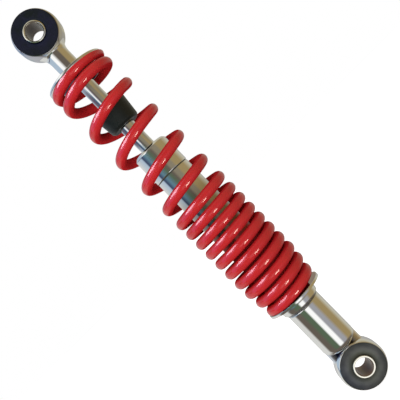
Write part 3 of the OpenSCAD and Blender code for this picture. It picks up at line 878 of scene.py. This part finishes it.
def bumpStop():
    shape = stopShape
    low, high, chamfer, flare = shape["low"], shape["high"], shape["chamfer"], shape["boreFlare"]
    outline = [
        (shape["bore"], stopLow + flare), (shape["bore"] + flare, stopLow), (low - chamfer, stopLow),
        (low, stopLow + chamfer), (high, stopHigh), (shape["bore"] + flare, stopHigh),
        (shape["bore"], stopHigh - flare)
    ]
    stop = turnPiece("bumpStop", closeLoop(outline))
    roundEdges(stop, shape["edge"], fromAngle=20)
    return stop


nutLow, nutHigh = (corner.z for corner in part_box("rod_lock_nut"))
# painted shade: the upper seat's spigot is dark where it sits inside the top coils
spigotPaintedShade = {"colour": (0.10, 0.06, 0.08), "height": (3.6 * mm, 3.8 * mm)}
spigotFrom, spigotTo = (upperSeatLow + height for height in spigotPaintedShade["height"])
tintBelow(seatChrome, placeField(seatChrome, "Z", spigotFrom, spigotTo), spigotPaintedShade["colour"])
# painted shade, dark reddish brown, on the lower seat's top face inside the coil's reach
seatPaintedShade = {"colour": (0.16, 0.05, 0.03), "depth": (0.6 * mm, 0.4 * mm), "radius": (20.2 * mm, 20.9 * mm)}
shadeLow, shadeHigh = (lowerSeatHigh - depth for depth in seatPaintedShade["depth"])
underFace = spread(lowSeatChrome, placeField(lowSeatChrome, "Z", shadeLow, shadeHigh), 1, 0, 0, 1)
pastCoil = radiusField(lowSeatChrome, "Z", (0, 0, 0), *seatPaintedShade["radius"])
tintBelow(lowSeatChrome, either(lowSeatChrome, pastCoil, underFace), seatPaintedShade["colour"])
seatBelow, seatAbove, nut = lowerSeat(), upperSeat(), lockNut(nutLow, nutHigh)
rod, stop = pistonRod(), bumpStop()
for piece in (seatBelow, seatAbove, nut, rod, stop):
    shadeSmooth(piece)
finishPiece(seatBelow, "spring_carrier", "chrome_plate", lowSeatChrome, "lower_spring_seat")
finishPiece(seatAbove, "rod_assembly", "chrome_plate", seatChrome, "upper_spring_seat")
finishPiece(nut, "rod_assembly", "plated_nut", zincNut, "rod_lock_nut")
finishPiece(rod, "rod_assembly", "rod_chrome", rodChrome, "piston_rod")
finishPiece(stop, "bump_stop", "stop_rubber", stopRubber, "bump_stop")
print("seats, rod and bump stop made")


# Main spring: one wire, wide coils above and close ones below, ground flat at both ends

springShape = {
    "wire": 7.3 * mm, "outside": 46.6 * mm, "footOutside": 40.5 * mm, "turns": 16, "closedGap": 0.6 * mm,
    "closeGap": 1.75 * mm, "topGround": 1.65 * mm, "footGround": 1.2 * mm, "startAngle": 57,
    "closedEnd": 1.27, "wideStart": 1.74, "wideEnd": 4.35, "closeStart": 6.75, "drawInTurns": 2.65,
    "stepsPerTurn": 90, "roundness": 13, "cutWithin": 0.0001 * mm, "smoothUpTo": 50,
}
springLow, springHigh = (corner.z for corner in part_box("main_spring"))


def stretchDrop(turn, start, end, pitchFrom, pitchTo):
    gone = max(0.0, min(turn, end) - start)
    return pitchFrom * gone + (pitchTo - pitchFrom) * gone ** 2 / (2 * (end - start))


def coilDrop(turn, widePitch):
    shape = springShape
    closed, close = shape["wire"] + shape["closedGap"], shape["wire"] + shape["closeGap"]
    footStart = shape["turns"] - 1
    stretches = [
        (0, shape["closedEnd"], closed, closed), (shape["closedEnd"], shape["wideStart"], closed, widePitch),
        (shape["wideStart"], shape["wideEnd"], widePitch, widePitch),
        (shape["wideEnd"], shape["closeStart"], widePitch, close),
        (shape["closeStart"], footStart, close, close),
        (footStart, shape["turns"], close, (closed + close) / 2),
    ]
    return sum(stretchDrop(turn, *stretch) for stretch in stretches)


def mainSpring():
    shape = springShape
    turns = shape["turns"]
    fall = springHigh - springLow + shape["topGround"] + shape["footGround"]
    fixed = coilDrop(turns, 0.0)
    widePitch = (fall - fixed) / (coilDrop(turns, 1.0) - fixed)
    coil, foot = (shape["outside"] - shape["wire"]) / 2, (shape["footOutside"] - shape["wire"]) / 2
    count = round(turns * shape["stepsPerTurn"])
    startFresh()
    bpy.ops.curve.primitive_nurbs_path_add()
    spring = bpy.context.object
    spring.name = spring.data.name = "mainSpring"
    spring.data.splines.clear()
    wire = spring.data.splines.new("POLY")
    wire.points.add(count)
    for k, point in enumerate(wire.points):
        turn = turns * k / count
        angle = math.radians(shape["startAngle"] - 360 * turn)
        drawIn = max(0.0, turn - turns + shape["drawInTurns"]) / shape["drawInTurns"]
        radius = coil + (foot - coil) * drawIn
        height = springHigh + shape["topGround"] - coilDrop(turn, widePitch)
        point.co = (radius * math.cos(angle), radius * math.sin(angle), height, 1)
    spring.data.bevel_depth = shape["wire"] / 2
    spring.data.bevel_resolution = shape["roundness"]
    spring.data.use_fill_caps = True
    pick(spring)
    bpy.ops.object.convert(target="MESH")
    spring = bpy.context.object
    bpy.ops.object.mode_set(mode="EDIT")
    tidyMesh()
    for end, up in ((springHigh, 1), (springLow, -1)):
        bpy.ops.mesh.select_all(action="SELECT")
        bpy.ops.mesh.bisect(
            plane_co=(0, 0, end), plane_no=(0, 0, up), use_fill=True, clear_outer=True,
            threshold=shape["cutWithin"])
    tidyMesh()
    bpy.ops.object.mode_set(mode="OBJECT")
    return spring


spring = mainSpring()
shadeSmooth(spring, springShape["smoothUpTo"])
finishPiece(spring, "spring_carrier", "spring_paint", springPaint, "main_spring")
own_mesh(spring)
spring.visible_glossy = False  # the ground rod and the cap mirror the cards, not the coils
print("spring made:", len(spring.data.polygons), "faces")


# CAD nodes that stay as they are, inside the damper and in its seam

insideFinishes = {
    "foot_valve": valveBronze, "foot_disc": springSteel, "inner_cylinder": drawnSteel,
    "body_o_ring": seamRubber, "rod_guide": valveBronze, "seal_washer": drawnSteel, "rod_seal": sealRubber,
    "rebound_stop": stopRubber, "rebound_clip": springSteel, "rebound_shims": springSteel,
    "piston": pistonAlloy, "piston_band": bandPlastic, "compression_shims": springSteel,
    "piston_nut": zincNut,
}
for nodeName, finish in insideFinishes.items():
    for materialSlot in nodes[nodeName].material_slots:
        materialSlot.material = finish
print("inside pieces finished:", len(insideFinishes))


# Floor, surroundings, lamps and camera

stageSetup = {
    "floorSize": 12.0, "floorColour": (0.8, 0.8, 0.8), "floorGlow": 0.75, "skyLight": 0.55, "white": 1.0
}


# what the bright metal mirrors: plain cards round the object by azimuth, 0 at the front and 90 at +X
cardTones = {
    "white": (0.97, 0.97, 0.95), "silver": (0.65, 0.65, 0.62), "grey": (0.33, 0.33, 0.35),
    "sand": (0.5, 0.48, 0.38), "gold": (0.32, 0.24, 0.11), "drab": (0.23, 0.2, 0.14),
    "brown": (0.12, 0.1, 0.08), "leaf": (0.09, 0.13, 0.08), "sea": (0.11, 0.21, 0.27),
    "navy": (0.05, 0.07, 0.13), "ice": (0.4, 0.5, 0.6), "plum": (0.13, 0.1, 0.13),
}
studioCards = {
    "tube": [
        (-180, "grey"), (-150, "silver"), (-100, "silver"), (-85, "brown"), (-60, "brown"), (-40, "leaf"),
        (-20, "leaf"), (-10, "white"), (10, "white"), (20, "grey"), (40, "grey"), (60, "gold"), (95, "gold"),
        (125, "sand"), (180, "grey"),
    ],
    "cap": [
        (-180, "grey"), (-150, "silver"), (-85, "ice"), (-75, "navy"), (-70, "navy"), (-50, "sea"),
        (-20, "leaf"), (0, "brown"), (15, "drab"), (35, "drab"), (50, "gold"), (90, "gold"), (135, "sand"),
        (180, "grey"),
    ],
    "rod": [
        (-180, "sand"), (-145, "ice"), (-110, "plum"), (-90, "plum"), (-70, "navy"), (-55, "sea"),
        (-45, "white"), (-40, "white"), (-25, "plum"), (-10, "brown"), (0, "drab"), (30, "drab"),
        (50, "gold"), (90, "drab"), (140, "sand"), (180, "sand"),
    ],
    "neck": [
        (-180, "grey"), (-150, "ice"), (-75, "ice"), (-65, "white"), (-40, "white"), (-15, "brown"),
        (30, "brown"), (45, "gold"), (95, "gold"), (150, "sand"), (180, "grey"),
    ],
    "rowEdges": {"cap": (-0.16, 0.0), "rod": (0.122, 0.132), "neck": (0.235, 0.27)}, "overhead": (0.7, 0.95),
    "overheadTone": "sand", "beneath": (0.45, 0.8), "beneathTone": "brown", "strength": 1.12,
}


def makeFloor():
    startFresh()
    bpy.ops.mesh.primitive_plane_add(size=stageSetup["floorSize"], location=(0, 0, cadBox[0].z))
    floor = bpy.context.object
    floor.name = "floor"
    bpy.ops.object.transform_apply(location=True)
    finish, shader = newFinish("paleFloor", Roughness=0.9)
    shader.inputs["Base Color"].default_value = (*stageSetup["floorColour"], 1)
    shader.inputs["Emission Color"].default_value = (1, 1, 1, 1)
    tree = finish.node_tree
    path = addNode(tree, "ShaderNodeLightPath")
    glow = addNode(tree, "ShaderNodeMath", operation="MULTIPLY")
    glow.inputs[1].default_value = stageSetup["floorGlow"]
    tree.links.new(path.outputs["Is Camera Ray"], glow.inputs[0])
    tree.links.new(glow.outputs[0], shader.inputs["Emission Strength"])
    floor.data.materials.append(finish)
    floor.visible_glossy = False  # the metal mirrors the cards below, not the floor's edge
    floor.visible_shadow = False  # the table's glow comes from below
    return floor


def makeSurroundings():
    world = bpy.data.worlds.new("studio")
    bpy.context.scene.world = world
    world.use_nodes = True
    tree = world.node_tree
    tree.nodes.clear()
    coords = addNode(tree, "ShaderNodeTexCoord")
    split = addNode(tree, "ShaderNodeSeparateXYZ")
    tree.links.new(coords.outputs["Generated"], split.inputs[0])

    def sums(operation, first, second):
        node = addNode(tree, "ShaderNodeMath", operation=operation)
        for socket, value in zip(node.inputs, (first, second)):
            if isinstance(value, float):
                socket.default_value = value
            else:
                tree.links.new(value, socket)
        return node.outputs[0]

    def smooth(value, span):
        node = addNode(tree, "ShaderNodeMapRange", interpolation_type="SMOOTHSTEP")
        node.inputs["From Min"].default_value, node.inputs["From Max"].default_value = span
        tree.links.new(value, node.inputs["Value"])
        return node.outputs["Result"]

    def mixed(field, first, second):
        node = addNode(tree, "ShaderNodeMix", data_type="RGBA")
        tree.links.new(field, node.inputs["Factor"])
        tree.links.new(first, node.inputs[6])
        if isinstance(second, tuple):
            node.inputs[7].default_value = (*second, 1)
        else:
            tree.links.new(second, node.inputs[7])
        return node.outputs[2]

    def cards(row):
        ramp = addNode(tree, "ShaderNodeValToRGB")
        stops = ramp.color_ramp.elements
        for place, (azimuth, toneName) in enumerate(studioCards[row]):
            stop = stops[place] if place < 2 else stops.new(1.0)
            stop.position = azimuth / 360 + 0.5
            stop.color = (*cardTones[toneName], 1)
        tree.links.new(azimuthShare, ramp.inputs["Fac"])
        return ramp.outputs["Color"]

    across = sums("ARCTAN2", split.outputs["X"], sums("MULTIPLY", split.outputs["Y"], -1.0))
    azimuthShare = sums("ADD", sums("DIVIDE", across, math.tau), 0.5)
    height = split.outputs["Z"]
    mirrored = cards("tube")
    for row, edge in studioCards["rowEdges"].items():
        mirrored = mixed(smooth(height, edge), mirrored, cards(row))
    depth = sums("MULTIPLY", height, -1.0)
    for place, reach in (("overhead", height), ("beneath", depth)):
        colour = cardTones[studioCards[place + "Tone"]]
        mirrored = mixed(smooth(reach, studioCards[place]), mirrored, colour)

    path = addNode(tree, "ShaderNodeLightPath")
    sky = addNode(tree, "ShaderNodeBackground", Color=(1, 1, 1, 1), Strength=stageSetup["skyLight"])
    mirror = addNode(tree, "ShaderNodeBackground", Strength=studioCards["strength"])
    tree.links.new(mirrored, mirror.inputs["Color"])
    white = addNode(tree, "ShaderNodeBackground", Color=(1, 1, 1, 1), Strength=stageSetup["white"])
    shown = sky
    for ray, instead in (("Is Glossy Ray", mirror), ("Is Camera Ray", white)):
        mix = addNode(tree, "ShaderNodeMixShader")
        tree.links.new(path.outputs[ray], mix.inputs[0])
        tree.links.new(shown.outputs[0], mix.inputs[1])
        tree.links.new(instead.outputs[0], mix.inputs[2])
        shown = mix
    output = addNode(tree, "ShaderNodeOutputWorld")
    tree.links.new(shown.outputs[0], output.inputs["Surface"])


# lamps for the paint and the rubber; the bright metal mirrors the cards alone
lampSetup = {
    "softbox": {
        "azimuth": -26, "elevation": 2, "away": 1.2, "aimZ": 0.13, "size": (0.8, 0.8), "watts": 10.0,
        "colour": (1.0, 0.94, 1.0), "use": "diffuse", "lights": "all",
    },
    "window": {
        "azimuth": -66, "elevation": 50, "away": 1.2, "aimZ": 0.15, "size": (0.75, 0.75), "watts": 20.0,
        "colour": (1.0, 0.82, 1.0), "use": "gloss", "lights": "spring",
    },
    "sideGlow": {
        "azimuth": -70, "elevation": 35, "away": 0.9, "aimZ": 0.12, "size": (1.2, 2.0), "watts": 6.0,
        "colour": (0.7, 0.32, 1.0), "use": "gloss", "lights": "spring",
    },
    "tableLamp": {
        "azimuth": 17, "elevation": -40, "away": 0.6, "aimZ": 0.10, "size": (0.16, 0.24), "watts": 2.0,
        "colour": (1.0, 0.9, 0.75), "use": "gloss", "lights": "spring",
    },
}


def makeLamp(name):
    setup = lampSetup[name]
    azimuth, elevation = math.radians(setup["azimuth"]), math.radians(setup["elevation"])
    aim = Vector((0, 0, setup["aimZ"]))
    flat = math.cos(elevation)
    way = Vector((math.sin(azimuth) * flat, -math.cos(azimuth) * flat, math.sin(elevation)))
    startFresh()
    bpy.ops.object.light_add(type="AREA", location=aim + way * setup["away"])
    lamp = bpy.context.object
    lamp.name = name
    lamp.rotation_euler = way.to_track_quat("Z", "Y").to_euler()
    lamp.data.shape = "RECTANGLE"
    lamp.data.size, lamp.data.size_y = setup["size"]
    lamp.data.energy = setup["watts"]
    lamp.data.color = setup["colour"]
    lamp.visible_diffuse, lamp.visible_glossy = setup["use"] != "gloss", setup["use"] != "diffuse"
    lamp.light_linking.receiver_collection = lampLights[setup["lights"]]


cameraSetup = {
    "away": 0.400, "height": 149.3 * mm, "roll": 44.57, "lens": 55.0, "sensor": 36.0, "nearest": 0.01
}


def makeCamera():
    setup = cameraSetup
    startFresh()
    turned = (math.pi / 2, math.radians(setup["roll"]), 0)
    bpy.ops.object.camera_add(location=(0, -setup["away"], setup["height"]), rotation=turned)
    camera = bpy.context.object
    camera.data.lens, camera.data.sensor_width = setup["lens"], setup["sensor"]
    camera.data.clip_start = setup["nearest"]
    bpy.context.scene.camera = camera


lampLights = {use: bpy.data.collections.new(use) for use in ("all", "spring")}
lampLights["spring"].objects.link(spring)
for piece in (makeFloor(), spring, stop, upperBush, lowerBush, wiper):
    lampLights["all"].objects.link(piece)
makeSurroundings()
for lampName in lampSetup:
    makeLamp(lampName)
makeCamera()
bpy.context.scene.view_settings.view_transform = "Standard"
print("stage, lamps and camera set")
